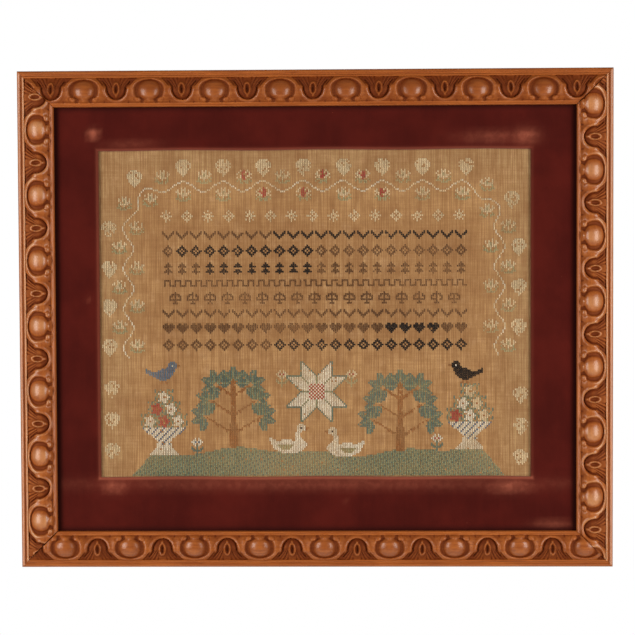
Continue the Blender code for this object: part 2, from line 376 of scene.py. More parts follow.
# %% The plain section and the ground of the carved band
REPEAT = 65.2
SIGHT = 36.0
BAND_START, BAND_END = 7.4, 32.5
CREST_AT, CREST_HEIGHT, BOW_OUT, BOW_IN = 22.0, 20.6, 26.0, 20.0
FILLET_END, FILLET_HEIGHT = 3.4, 17.6
QUIRK_END, QUIRK_HEIGHT = 5.1, 16.3
BEAD_AT, BEAD_HALF, BEAD_FOOT = 6.2, 1.05, 16.5
SIGHT_HEIGHT, SIGHT_BEAD_AT, SIGHT_BEAD_HALF = 17.1, 34.9, 0.9


def ease(low, high, value):
    """Rises smoothly from 0 at low to 1 at high, or falls where high is less than low."""
    share = np.clip((value - low) / (high - low), 0, 1)
    return share * share * (3 - 2 * share)


def rounded(share):
    """The rise of a half round, 1 at its middle and 0 from its edges on."""
    return np.sqrt(np.clip(1 - share ** 2, 0, 1))


def bowed(aside, radius):
    """How far a round surface has fallen at a distance from its top."""
    return radius - np.sqrt(np.maximum(radius ** 2 - np.clip(aside, -radius, radius) ** 2, 0))


def band(inwards):
    """The carved band's general surface, bowed with its top a little inside its middle."""
    aside = inwards - CREST_AT
    return CREST_HEIGHT - np.where(aside < 0, bowed(aside, BOW_OUT), bowed(aside, BOW_IN))


def plain_section(inwards):
    """The height of the fillets, the quirk and the bead beside the carved band."""
    worn_edge = 0.9 * ease(3.0, 0.3, inwards) + 1.4 * ease(0.7, 0.0, inwards)
    outer = FILLET_HEIGHT - worn_edge - 0.4 * ease(2.9, FILLET_END, inwards)
    bead = BEAD_FOOT + 1.3 * rounded((inwards - BEAD_AT) / BEAD_HALF)
    sight = SIGHT_HEIGHT + 0.5 * rounded((inwards - SIGHT_BEAD_AT) / SIGHT_BEAD_HALF)
    sight = sight - 0.6 * ease(35.5, SIGHT, inwards)
    height = np.where(inwards < FILLET_END, outer, QUIRK_HEIGHT)
    height = np.where(inwards > QUIRK_END, bead, height)
    return np.where(inwards > BAND_END, sight, height)


print("section height at the outer fillet and at the sight:", plain_section(np.array([2.0, 34.5])).round(2))

# %% Eggs, husks and curls
EGG_AT, EGG_WIDE, EGG_LONG = 18.4, 12.9, 11.5
EGG_TOP, EGG_TOP_AT, EGG_ROUND_ALONG, EGG_ROUND_ACROSS = 24.5, 22.3, 20.5, 15.0
EGG_SQUARE, HUSK_SQUARE = 2.6, 3.4
ABSENT = -9
HUSK_WIDE, HUSK_OUT, HUSK_IN = 18.9, 12.0, 13.4
CURL_BESIDE, CURL_AT, CURL_RADIUS = 11.2, 30.0, 3.1


def egg(along, inwards):
    """Height above the band of one egg, which narrows to a neck that runs down to the sight edge."""
    down = np.clip((inwards - EGG_AT) / EGG_LONG, 0, 1)
    half = np.maximum(EGG_WIDE * np.sqrt(1 - down ** 2), 5.0 + 1.8 * ease(29, 33, inwards))
    share = np.hypot(along / EGG_WIDE, (inwards - EGG_AT) / EGG_LONG)
    share = np.clip(np.where(inwards < EGG_AT, share, np.abs(along) / half), 0, 1)
    top = EGG_TOP - bowed(along, EGG_ROUND_ALONG) - bowed(inwards - EGG_TOP_AT, EGG_ROUND_ACROSS)
    fall = 3.2 - 0.6 * ease(16.0, 9.0, inwards)
    drop = fall * (1 - (1 - share ** EGG_SQUARE) ** (1 / EGG_SQUARE)) + ease(25.0, 29.0, inwards)
    body = top - band(inwards) - drop
    folds = 0.8 * np.exp(-(np.hypot(along, inwards - 30.2) / 2.0) ** 2)
    return np.where(share < 1, body + folds, ABSENT)


def husk(along, inwards):
    """Height above the band of the husk round an egg, its hollow side and its two curled ends."""
    beside, down = np.abs(along), inwards - EGG_AT
    outer_round = np.hypot(beside / HUSK_WIDE, down / HUSK_OUT)
    inner_round = (beside / HUSK_WIDE) ** HUSK_SQUARE + (np.maximum(down, 0) / HUSK_IN) ** HUSK_SQUARE
    inner_round = inner_round ** (1 / HUSK_SQUARE)
    beyond = 15 * (np.where(down > 0, inner_round, outer_round) - 1)
    arm = -2.4 + 4.6 * ease(-5.4, -2.2, beyond) - 0.42 * np.clip(beyond + 1.8, 0, 6)
    arm = arm - 1.0 * ease(0.8, 3.0, beyond) * ease(19, 13, inwards)
    gap = ease(9.8, 7.0, beside) * ease(24.0, 28.0, inwards)
    arm = arm * (1 - gap) - 2.0 * gap
    from_curl = np.hypot(beside - CURL_BESIDE, inwards - CURL_AT)
    moat = 0.7 * np.exp(-((from_curl - CURL_RADIUS - 0.6) / 0.8) ** 2) * (beyond < 0.5)
    curl = -0.6 + 2.9 * rounded(from_curl / CURL_RADIUS)
    return np.maximum(arm - moat, curl), beyond


# %% Leaves with their veins, eye and bead
LEAF_ROOT, LEAF_LENGTH, LEAF_HALF, LEAF_ROUND = 17.0, 12.2, 10.2, 2.2
VEINS = 5
EYE_HALF, EYE_AT, EYE_LONG = 2.1, 18.8, 4.3
TIP_BEAD_AT, TIP_BEAD_RADIUS = 26.5, 1.5


def leaf(beside, inwards):
    """Heights above the band in and round one leaf and of its lip, and the distance from its outline."""
    down = np.maximum(inwards - LEAF_ROOT, 0) / LEAF_LENGTH
    half = LEAF_HALF * np.clip(1 - down ** LEAF_ROUND, 0.001, 1) ** (1 / LEAF_ROUND)
    half = half + 8.0 * (np.clip(LEAF_ROOT - inwards, 0, 10) / 10) ** 1.25
    aside = np.abs(beside)
    beyond = 13 * (((aside / LEAF_HALF) ** LEAF_ROUND + down ** LEAF_ROUND) ** (1 / LEAF_ROUND) - 1)
    beyond = np.where(inwards > LEAF_ROOT, beyond, aside - half)
    share = np.clip(aside / half, 0, 1)
    body = -0.5 + 1.1 * (1 - share ** 2) - 1.3 * ease(-3.5, 0.0, beyond) - 1.2 * ease(20, 27, inwards)
    from_tip = np.maximum(29.5 - inwards, 0)
    fan = aside / (1.0 + 0.5 * from_tip + 0.02 * from_tip ** 2)
    ridges = np.abs(np.sin(np.pi * VEINS * fan))
    body = body - 1.2 * (1 - ridges) ** 1.2 * ease(22, 14, inwards) * ease(3.0, 4.6, aside)
    to_eye = np.hypot(beside / EYE_HALF, (inwards - EYE_AT) / EYE_LONG)
    eye = -1.6 * np.clip(1 - to_eye ** 2, 0, 1)
    rim = 2.0 * np.exp(-((to_eye - 1.36) / 0.32) ** 2) * ease(9.5, 12.5, inwards)
    bead = 1.7 * rounded(np.hypot(beside, inwards - TIP_BEAD_AT) / TIP_BEAD_RADIUS)
    outside = -1.2 + 2.8 * ease(-0.2, 1.4, beyond) * ease(13, 18, inwards)
    outside = outside + 10 * ease(2.4, 5.0, beyond)
    lip = 1.2 * np.exp(-((beyond - 2.3) / 1.7) ** 2) * ease(15, 20, inwards)
    return body + eye + rim + bead, outside, lip, beyond


# %% The whole carved surface
def carved_height(along, inwards, egg_offset):
    """Height in millimetres at points of one rail, and which lie in a leaf, on an egg's top or on a lip.

    No two repeats quite match.
    """
    number = np.round((along - egg_offset) / REPEAT)
    shift = 0.35 * np.sin(number * 12.9 + egg_offset)
    from_egg = along - egg_offset - number * REPEAT - shift
    inner = inwards + 0.25 * np.sin(number * 7.7 + 2 * egg_offset)
    arms, past_husk = husk(from_egg, inner)
    body, outside, lip, past_leaf = leaf(REPEAT / 2 - np.abs(from_egg), inner)
    in_outline = np.maximum(body, np.where(past_husk < 1.2, arms, ABSENT))
    carved = np.where(past_leaf < 0, in_outline, np.minimum(arms + lip, outside))
    carved = np.maximum(carved, egg(from_egg, inner))
    carved = np.maximum(carved, -2.8 + 2.2 * ease(12.0, 8.5, inwards))
    carved = carved - 0.8 * np.exp(-((np.abs(from_egg) - 20.6) / 0.7) ** 2) * ease(29.4, 31.0, inwards)
    carved = carved - 0.7 * ease(30.8, BAND_END, inwards)
    tool_marks = 0.04 * np.sin(along * 1.9 + 3 * np.sin(inwards * 0.9)) * np.sin(inwards * 1.3 + along * 0.21)
    on_band = (inwards > BAND_START) & (inwards < BAND_END)
    height = np.where(on_band, band(inwards) + carved + tool_marks, plain_section(inwards))
    on_egg = ease(11.5, 7.0, np.hypot(from_egg, inner - EGG_AT))
    on_lip = np.where(past_leaf > 0, 0.7 * lip, 0)
    return height, on_band & (past_leaf < 0) & (past_husk > 0.5), on_egg, on_lip


# %% [markdown]
# ## Wrapping a flat strip round the moulding
#
# Each rail is one flat grid, like a strip of veneer, that is wrapped round the section: over the carved
# front, down the outer edge, along the back and up the rabbet. The grid's rows lie closer together where
# the section turns sharply. Its two long edges meet and are welded, and each mitred end is closed with one
# face. The mitre comes from shortening each row by its own distance from the outer edge.

# %% Rows of the strip
LIP, RABBET = 11.8, 30.0
FINE_STEP = 0.66


def strip_rows():
    """(distance inwards, fixed height or None for the carved front) from the lip round to the lip."""
    front = [0.0, 0.2, 0.45, 0.8, 1.4, 2.2, 2.8, 3.3, 3.45, 4.2, 5.0, 5.2, 5.4, 5.7, 6.2, 6.7, 7.0, 7.2]
    front += list(np.arange(BAND_START + 0.05, BAND_END, FINE_STEP))
    front += [32.7, 33.3, 33.9, 34.1, 34.5, 34.9, 35.3, 35.6, 35.8, SIGHT]
    rows = [(SIGHT, LIP)]
    rows += [(inwards, None) for inwards in reversed(front)]
    rows += [(0.0, 8.0), (0.0, 0.0), (RABBET, 0.0), (RABBET, LIP), (SIGHT, LIP)]
    return rows


ROWS = strip_rows()
print("rows round the moulding:", len(ROWS))

# %% Rails
HALF_WIDTH, HALF_HEIGHT = 297.0, 249.0
RAILS = {
    "rail_top": {"turn": 0, "egg_offset": 31.4, "mitres": (0.4, 0.7), "painted_shade": 0.125},
    "rail_right": {"turn": 90, "egg_offset": -17.7, "mitres": (0.7, 0.3)},
    "rail_bottom": {"turn": 180, "egg_offset": -8.1, "mitres": (0.3, 0.8)},
    "rail_left": {"turn": 270, "egg_offset": -5.7, "mitres": (0.8, 0.4)},
}
# Painted shade: one value darkens the level rails, and the top rail's own larger value darkens it most,
# because the side lights fall less on them than on the upright rails.
LEVEL_PAINTED_LIGHT_AND_GLOSS = {"fillet": 0.39, "bead": 0.42, "painted_shade": 0.10, "painted_egg_highlight": 0.0, "shine": 0.15,
              "material": wood_level}
# Painted highlight: the upright rails' lower fillet and bead values and their egg value pale the outer
# fillet, bead and egg tops.
UPRIGHT_PAINTED_LIGHT_AND_GLOSS = {"fillet": 0.3, "bead": 0.14, "painted_shade": 0.03, "painted_egg_highlight": 0.13, "shine": 0.0,
                "material": wood_upright}


def grid_strip(columns):
    """A flat grid with a row for each row of the strip, as a mesh."""
    bm = bmesh.new()
    bmesh.ops.create_grid(bm, x_segments=columns, y_segments=len(ROWS) - 1, size=1)
    mesh = bpy.data.meshes.new("strip")
    bm.to_mesh(mesh)
    bm.free()
    return mesh


def points_of(mesh):
    """The places of a mesh's points, as a table with a row for each."""
    places = np.zeros(len(mesh.vertices) * 3)
    mesh.vertices.foreach_get("co", places)
    return places.reshape(-1, 3)


def soften(values, reach):
    """The average of a table of values over a square of that many cells each way."""
    for axis in (0, 1):
        ends = [values.take([end] * reach, axis) for end in (0, -1)]
        padded = np.concatenate([ends[0], values, ends[1]], axis)
        total = np.cumsum(padded, axis)
        size = values.shape[axis]
        upper = total.take(range(2 * reach, 2 * reach + size), axis)
        lower = total.take(range(size), axis)
        values = (upper - lower) / (2 * reach)
    return values


def wrap_strip(mesh, columns, half_length, to_outer, facts):
    """Moves each point of the flat grid to its place on the rail, and notes how deep it lies, with painted
    shade and highlight for that rail.
    """
    flat = points_of(mesh)
    row = np.rint((flat[:, 1] + 1) / 2 * (len(ROWS) - 1)).astype(int)
    inwards = np.array([each[0] for each in ROWS])[row]
    fixed = np.array([np.nan if each[1] is None else each[1] for each in ROWS])[row]
    in_front = np.isnan(fixed)
    opening = np.where(in_front, 0.15 + 0.85 * ease(4.0, 14.0, inwards), 0.03) * math.sqrt(0.5)
    ends = [half_length - inwards - gap * opening for gap in facts["mitres"]]
    along = np.where(flat[:, 0] < 0, flat[:, 0] * ends[0], flat[:, 0] * ends[1])
    carved, in_leaf, on_egg, on_lip = carved_height(along, inwards, facts["egg_offset"])
    height = np.where(in_front, carved, fixed)
    placed = np.stack([along, -height, to_outer - inwards], axis=1) * MM
    turned = np.array(Matrix.Rotation(math.radians(facts["turn"]), 3, "Y"))
    placed = placed @ turned.T + np.array(FRAME_CENTRE)
    mesh.vertices.foreach_set("co", placed.ravel())
    table = np.zeros((len(ROWS), columns + 1))
    column = np.rint((flat[:, 0] + 1) / 2 * columns).astype(int)
    on_band = (inwards > BAND_START) & (inwards < BAND_END)
    table[row, column] = np.where(on_band, height - band(inwards), 0)
    depth = (table - soften(table, 2)) / 4 + (table - soften(table, 5)) / 8 + (table - soften(table, 18)) / 11
    # The depth in the carving stands for dust and varnish; the added value is painted shade, largest on the
    # level rails.
    hollow = 0.53 - depth[row, column] * (1 - 5 * facts["painted_shade"]) + 0.12 * in_leaf + facts["painted_shade"]
    on_bead = (inwards > 5.4) & (inwards < 7.1)
    # Painted highlight: the upright rails' egg tops, bead and outer fillet are made paler.
    hollow = hollow - facts["painted_egg_highlight"] * on_egg
    plain = np.where(inwards < 3.4, facts["fillet"], np.where(on_bead, facts["bead"], 0.42))
    hollow = np.clip(np.where(on_band, hollow, plain), 0, 1)
    dulled = hollow - np.where(on_band, 0.5 * facts["painted_shade"] + facts["shine"] * np.maximum(on_egg, on_lip), 0)
    paint(mesh, "hollow", hollow)
    paint(mesh, "dulled", dulled)


def close_rail(mesh):
    """Welds the strip's long edges, closes both mitred ends and turns every face outwards."""
    bm = bmesh.new()
    bm.from_mesh(mesh)
    bmesh.ops.remove_doubles(bm, verts=bm.verts, dist=0.000001)
    open_edges = [edge for edge in bm.edges if edge.is_boundary]
    bmesh.ops.holes_fill(bm, edges=open_edges, sides=0)
    bmesh.ops.recalc_face_normals(bm, faces=bm.faces)
    bm.to_mesh(mesh)
    left_open = sum(edge.is_boundary for edge in bm.edges)
    bm.free()
    return left_open


def finish_piece(mesh, name, material, slot, *nodes):
    """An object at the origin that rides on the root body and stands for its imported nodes."""
    mesh.name = name
    mesh.materials.append(material)
    mesh.shade_smooth()
    piece = bpy.data.objects.new(name, mesh)
    bpy.context.collection.objects.link(piece)
    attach(piece, "root")
    if nodes:
        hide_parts(*nodes)
    return piece


def triangles_in(mesh):
    """How many triangles the faces of a mesh come to."""
    return sum(len(face.vertices) - 2 for face in mesh.polygons)


def carve_rail(name, facts):
    """One rail of the frame."""
    level = facts["turn"] in (0, 180)
    half_length, to_outer = (HALF_WIDTH, HALF_HEIGHT) if level else (HALF_HEIGHT, HALF_WIDTH)
    columns = round(2 * half_length / FINE_STEP)
    mesh = grid_strip(columns)
    wrap_strip(mesh, columns, half_length, to_outer, facts)
    left_open = close_rail(mesh)
    piece = finish_piece(mesh, "carved_" + name, facts["material"], "carved_wood", name)
    mesh.set_sharp_from_angle(angle=math.radians(62))
    print(piece.name, "triangles", triangles_in(mesh), "open edges", left_open)


for rail_name, rail_facts in RAILS.items():
    rail_painted_light_and_gloss = LEVEL_PAINTED_LIGHT_AND_GLOSS if rail_facts["turn"] in (0, 180) else UPRIGHT_PAINTED_LIGHT_AND_GLOSS
    carve_rail(rail_name, {**rail_painted_light_and_gloss, **rail_facts})

# %% [markdown]
# ## The velvet mat
#
# The mat is a board with velvet drawn over it and turned over round the window, so its window edge is a
# soft slope, not a cut. A grid whose lines are moved to the window's edges, with the faces inside the
# window deleted, keeps enough points for the nap to sink and rise. Three attributes go with it: the fold
# mark, where the pile opens over the edge and a painted highlight lies on the turned edge, rubbed, where
# handling has worn it, mostly below the window, and a painted shadow close to the rails, a dark band
# that stands in for the shade the rails throw, deepest beside the upright ones.

# %% Velvet finish
VELVET_DEEP = seen_colour(67, 13, 7)
VELVET_LIT = seen_colour(82, 20, 12)
# Pale worn velvet; on the turned window edge the same colour is also a painted highlight.
VELVET_WORN_AND_HIGHLIGHT = seen_colour(200, 110, 82)
# Painted shadow: the dark velvet colour for a band beside the rails, where the rails shade it.
VELVET_PAINTED_SHADOW = seen_colour(34, 5, 3)

velvet, tree, shader = new_finish(
    "burgundy_velvet", Roughness=0.95, Specular_IOR_Level=0.1, Sheen_Weight=0.35, Sheen_Roughness=0.4,
    Sheen_Tint=(1.0, 0.55, 0.45, 1.0),
)
place = object_place(tree)
nap = place_effect(tree, patches, {"Vector": place, "Scale": 16.0, "Start": 0.35, "Full": 0.7})
brushed = node(tree, "Mapping", {"Vector": place, "Scale": (1.0, 1.0, 0.12)}).outputs["Vector"]
strokes = place_effect(tree, patches, {"Vector": brushed, "Scale": 140.0, "Start": 0.4, "Full": 0.75})
pile = node(tree, "TexNoise", {"Vector": place, "Scale": 2600.0, "Detail": 2.0}).outputs["Fac"]
lint = place_effect(tree, patches, {"Vector": place, "Scale": 420.0, "Start": 0.74, "Full": 0.78})
fold_wear_and_highlight = painted(tree, "fold_wear_and_highlight")
rubbed = painted(tree, "rubbed")
scuffs = place_effect(tree, patches, {"Vector": place, "Scale": 150.0, "Start": 0.36, "Full": 0.66})
colour = blend_colour(tree, nap["Mask"], VELVET_DEEP, VELVET_LIT)
colour = tint(tree, strokes["Mask"], 0.25, colour, VELVET_LIT)
worn = sum_up(tree, "MULTIPLY", rubbed, ramp(tree, scuffs["Mask"], 0.0, 1.0, 0.65, 1.0))
colour = tint(tree, worn, 0.6, colour, VELVET_WORN_AND_HIGHLIGHT)
# Fold mark: pale colour on the turned edge, partly pile opened over the fold and partly a painted highlight
# where the edge catches the light.
colour = tint(tree, fold_wear_and_highlight, 0.42, colour, VELVET_WORN_AND_HIGHLIGHT)
colour = tint(tree, lint["Mask"], 0.5, colour, VELVET_WORN_AND_HIGHLIGHT)
# Painted shadow: the velvet beside the rails is darkened to stand in for the shade the rails throw on it.
painted_rail_shadow = painted(tree, "painted_rail_shadow")
colour = blend_colour(tree, painted_rail_shadow, colour, VELVET_PAINTED_SHADOW)
tree.links.new(colour, shader.inputs["Base Color"])
bump(tree, pile, 0.0004, 0.6, shader)

# %% Window mat
MAT_BACK, MAT_FRONT = 8.0, 11.5
MAT_HALF = (266.5, 218.5)
WINDOW_LEFT, WINDOW_RIGHT, WINDOW_TOP, WINDOW_BOTTOM = -217.0, 215.6, -64.6, -392.8
FOLD_WIDTH, FOLD_DROP = 3.2, 2.3
MAT_COLUMNS, MAT_ROWS = 130, 110
BESIDE_RAIL = (5.5, 7.5, 9.5, 12.0)
LEAST_GAP = 1.2

# Marks of handling on the velvet: middle, reach each way and strength.
RUBBED_SPOTS = (
    {"at": (-221.8, -47.6), "reach": (5.0, 4.5), "strength": 1.0},
    {"at": (-183.0, -58.0), "reach": (26.0, 4.0), "strength": 0.25},
    {"at": (210.0, -52.0), "reach": (12.0, 7.0), "strength": 0.75},
    {"at": (178.0, -53.0), "reach": (32.0, 6.0), "strength": 0.4},
    {"at": (0.0, -400.0), "reach": (240.0, 6.0), "strength": 0.34},
    {"at": (-203.0, -402.0), "reach": (13.0, 6.0), "strength": 0.7},
    {"at": (194.0, -402.0), "reach": (22.0, 6.0), "strength": 0.75},
    {"at": (238.0, -441.0), "reach": (18.0, 4.0), "strength": 0.5},
    {"at": (-228.0, -212.0), "reach": (2.0, 2.0), "strength": 0.8},
    {"at": (29.0, -419.0), "reach": (2.5, 1.5), "strength": 0.8},
)


def spread_lines(low, window_low, window_high, high, count):
    """Grid line places from low to high, denser at the window's edges, with a line on each of them."""
    near = [0.0, 0.4, 1.0, 1.7, 2.4, FOLD_WIDTH, 5.0, 8.0]
    fixed = [window_low - step for step in near] + [window_high + step for step in near]
    fixed += [low + step for step in BESIDE_RAIL] + [high - step for step in BESIDE_RAIL]
    even = np.linspace(low, high, count - len(fixed) + 1)
    between = [line for line in even if min(abs(line - other) for other in fixed) > LEAST_GAP]
    return np.array(sorted(set(between + fixed + [low, high])))


columns_at = spread_lines(-MAT_HALF[0], WINDOW_LEFT, WINDOW_RIGHT, MAT_HALF[0], MAT_COLUMNS)
rows_at = spread_lines(-MAT_HALF[1] + FRAME_CENTRE.z / MM, WINDOW_BOTTOM, WINDOW_TOP,
                       MAT_HALF[1] + FRAME_CENTRE.z / MM, MAT_ROWS)

bm = bmesh.new()
bmesh.ops.create_grid(bm, x_segments=len(columns_at) - 1, y_segments=len(rows_at) - 1, size=1)
for vert in bm.verts:
    across = columns_at[round((vert.co.x + 1) / 2 * (len(columns_at) - 1))]
    up = rows_at[round((vert.co.y + 1) / 2 * (len(rows_at) - 1))]
    vert.co = (across * MM, -MAT_FRONT * MM, up * MM)
in_window = [
    face for face in bm.faces
    if WINDOW_LEFT < face.calc_center_median().x / MM < WINDOW_RIGHT
    and WINDOW_BOTTOM < face.calc_center_median().z / MM < WINDOW_TOP
]
bmesh.ops.delete(bm, geom=in_window, context="FACES")
backs = bmesh.ops.extrude_face_region(bm, geom=bm.faces[:])
moved = [part for part in backs["geom"] if isinstance(part, bmesh.types.BMVert)]
bmesh.ops.translate(bm, vec=(0, (MAT_FRONT - MAT_BACK) * MM, 0), verts=moved)
bmesh.ops.recalc_face_normals(bm, faces=bm.faces)
mat_mesh = bpy.data.meshes.new("mat")
bm.to_mesh(mat_mesh)
bm.free()

# %% Fold over the window edge, unevenness, wear, and painted highlight and shadow
points = points_of(mat_mesh) / MM
outside = np.maximum.reduce([
    WINDOW_LEFT - points[:, 0], points[:, 0] - WINDOW_RIGHT,
    points[:, 2] - WINDOW_TOP, WINDOW_BOTTOM - points[:, 2],
])
in_front = points[:, 1] < -(MAT_FRONT + MAT_BACK) / 2
share = np.clip(outside / FOLD_WIDTH, 0, 1)
sunk = FOLD_DROP * (1 - np.sqrt(np.clip(1 - (1 - share) ** 2, 0, 1)))
ripple = 0.12 * np.sin(points[:, 0] * 0.11 + 1.7 * np.sin(points[:, 2] * 0.05)) * np.sin(points[:, 2] * 0.09)
points[:, 1] += np.where(in_front, sunk + ripple * ease(0.0, 6.0, outside), 0)
wander = 0.35 * np.sin(points[:, 0] * 0.043 + 1.0) + 0.25 * np.sin(points[:, 2] * 0.06)
near_window = ease(9.0, 0.0, outside)
points[:, 2] += np.where(np.abs(points[:, 2] - FRAME_CENTRE.z / MM) > 150, wander * near_window, 0)
mat_mesh.vertices.foreach_set("co", (points * MM).ravel())

rubbed_values = np.zeros(len(points))
for spot in RUBBED_SPOTS:
    away = ((points[:, 0] - spot["at"][0]) / spot["reach"][0]) ** 2
    away += ((points[:, 2] - spot["at"][1]) / spot["reach"][1]) ** 2
    rubbed_values = np.maximum(rubbed_values, spot["strength"] * np.exp(-away))
# The fold mark is strongest below the window and weakest at its right side; it is partly pile opened over the
# fold and partly a painted highlight.
below_window = ease(WINDOW_BOTTOM + 2, WINDOW_BOTTOM - 1, points[:, 2])
beside_window = ease(WINDOW_RIGHT - 2, WINDOW_RIGHT + 1, points[:, 0])
opened = 0.5 + 0.5 * below_window - 0.3 * beside_window * (1 - below_window)
fold_wear_and_highlight_values = ease(FOLD_WIDTH + 0.6, 0.8, outside) * in_front * opened
paint(mat_mesh, "rubbed", rubbed_values * in_front)
paint(mat_mesh, "fold_wear_and_highlight", fold_wear_and_highlight_values)
# Painted shadow beside the rails: a dark band, darker beside the upright rails than beside the level ones.
to_side = HALF_WIDTH - SIGHT - np.abs(points[:, 0])
to_level = HALF_HEIGHT - SIGHT - np.abs(points[:, 2] - FRAME_CENTRE.z / MM)
painted_rail_shadow_values = np.maximum(0.85 * ease(7.0, 1.5, to_side), 0.6 * ease(6.0, 1.5, to_level))
paint(mat_mesh, "painted_rail_shadow", painted_rail_shadow_values)
finish_piece(mat_mesh, "velvet_mat", velvet, "velvet", "mat_velvet")
mat_mesh.set_sharp_from_angle(angle=math.radians(60))
print("velvet mat faces:", len(mat_mesh.polygons))

# %% [markdown]
# ## The linen
#
# The ground is a tan even-weave linen, two centuries of light and handling old. It is stretched flat, so
# it is modelled as one thin sheet that only just waves. The weave is fine, under a millimetre a thread,
# so it is in the finish: threads over and under, thick and thin threads that streak the cloth up and down,
# margins that have greyed, and a middle that has browned most round the bands of stitching.

# %% Linen finish
LINEN_MIDDLE = seen_colour(202, 155, 101)
LINEN_PALE = seen_colour(214, 170, 120)
LINEN_BROWN = seen_colour(138, 92, 52)
LINEN_GREY = seen_colour(190, 151, 102)
LINEN_GAP = seen_colour(96, 60, 34)

linen_finish, tree, shader = new_finish(
    "aged_linen", Roughness=0.92, Specular_IOR_Level=0.2, Sheen_Weight=0.08, Sheen_Roughness=0.5
)
place = object_place(tree)
cloth = place_effect(tree, weave, {"Vector": place, "Pitch": 0.000875})
greyed = painted(tree, "greyed")
stains = place_effect(tree, patches, {"Vector": place, "Scale": 11.0, "Start": 0.42, "Full": 0.72})
mottle = place_effect(tree, patches, {"Vector": place, "Scale": 75.0, "Start": 0.38, "Full": 0.68})
colour = blend_colour(tree, greyed, LINEN_MIDDLE, LINEN_GREY)
browned = painted(tree, "browned")
colour = tint(tree, browned, 0.3, colour, LINEN_BROWN)
pale_spots = place_effect(tree, patches, {"Vector": place, "Scale": 95.0, "Start": 0.5, "Full": 0.72})
colour = tint(tree, pale_spots["Mask"], 0.55, colour, LINEN_PALE)
colour = tint(tree, stains["Mask"], 0.3, colour, LINEN_BROWN)
colour = tint(tree, mottle["Mask"], 0.42, colour, LINEN_BROWN)
colour = tint(tree, cloth["Warp"], 0.62, colour, LINEN_BROWN)
colour = tint(tree, cloth["Weft"], 0.3, colour, LINEN_BROWN)
colour = tint(tree, cloth["Column"], 0.34, colour, LINEN_GAP)
colour = tint(tree, cloth["Gap"], 0.7, colour, LINEN_GAP)
tree.links.new(colour, shader.inputs["Base Color"])
bump(tree, cloth["Height"], 0.0003, 0.55, shader)

# %% Linen sheet
LINEN_LOW, LINEN_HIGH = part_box("linen_ground")
LINEN_FRONT, LINEN_THICK = 7.6, 0.6
SHEET_COLUMNS, SHEET_ROWS = 92, 70
BROWN_AT, BROWN_HALF = -196.0, (148.0, 48.0)

bm = bmesh.new()
bmesh.ops.create_grid(bm, x_segments=SHEET_COLUMNS, y_segments=SHEET_ROWS, size=0.5)
middle = (LINEN_LOW + LINEN_HIGH) / 2
size = LINEN_HIGH - LINEN_LOW
for vert in bm.verts:
    across, up = vert.co.x * size.x, vert.co.y * size.z
    wave = 0.10 * math.sin(across * 31 + 2 * math.sin(up * 17)) + 0.06 * math.sin(up * 47 + across * 23)
    vert.co = (middle.x + across, (wave - LINEN_FRONT) * MM, middle.z + up)
bmesh.ops.recalc_face_normals(bm, faces=bm.faces)
linen_mesh = bpy.data.meshes.new("linen")
bmesh.ops.solidify(bm, geom=bm.faces[:], thickness=LINEN_THICK * MM)
bmesh.ops.recalc_face_normals(bm, faces=bm.faces)
bm.to_mesh(linen_mesh)
bm.free()
sheet_points = points_of(linen_mesh) / MM
to_edge = np.minimum.reduce([
    sheet_points[:, 0] - WINDOW_LEFT, WINDOW_RIGHT - sheet_points[:, 0], WINDOW_TOP - sheet_points[:, 2],
])
paint(linen_mesh, "greyed", ease(52.0, 6.0, to_edge))
past_middle = np.hypot(
    np.maximum(np.abs(sheet_points[:, 0]) - BROWN_HALF[0], 0),
    np.maximum(np.abs(sheet_points[:, 2] - BROWN_AT) - BROWN_HALF[1], 0),
)
paint(linen_mesh, "browned", ease(34.0, 0.0, past_middle))
linen = finish_piece(linen_mesh, "stitched_linen", linen_finish, "linen", "linen_ground")
front_at = [round(v, 2) for v in (sheet_points[:, 1].min(), sheet_points[:, 1].max())]
print("linen faces:", len(linen_mesh.polygons), "from", front_at, "mm")

# %% [markdown]
# ## The stitcher's chart
#
# A sampler is worked from a chart on squares. Here the chart is a table from a square to its thread. One
# square is one cross stitch over two threads of the linen, 1.75 mm wide. The border is a meandering vine
# with sprigs and hatched berries, a traditional one, and it is worked out as a wave that follows a
# rounded rectangle. The middle has bands of plain repeats, and below them are common motifs: a star, leafy
# trees, swans, birds, posies and flower baskets on a green bank. There is no lettering on it.

# %% Chart tools
PITCH = 1.75
COLUMNS, ROWS_DOWN = 248, 188
CHART_LEFT, CHART_TOP = -217.0, -64.6
chart = {}
THREAD_LETTERS = {
    "c": "cream", "p": "pale_cream", "y": "pale_green", "l": "leaf_green", "r": "rust", "R": "red",
    "b": "blue", "k": "black", "n": "faded_brown",
}


def put(column, row, thread, kept=1.0):
    """Marks a square for a thread, where kept is the share of such stitches that haven't worn away."""
    if 0 <= column < COLUMNS and 0 <= row < ROWS_DOWN and random.random() < kept:
        chart[(column, row)] = thread


def draw(picture, column, row, mirrored=False, swap=None, kept=1.0):
    """Copies a small chart, a letter for each thread, with its top left square at a column and row."""
    for down, line in enumerate(picture):
        for right, letter in enumerate(line[::-1] if mirrored else line):
            if letter != ".":
                letter = (swap or {}).get(letter, letter)
                put(column + right, row + down, THREAD_LETTERS[letter], kept)


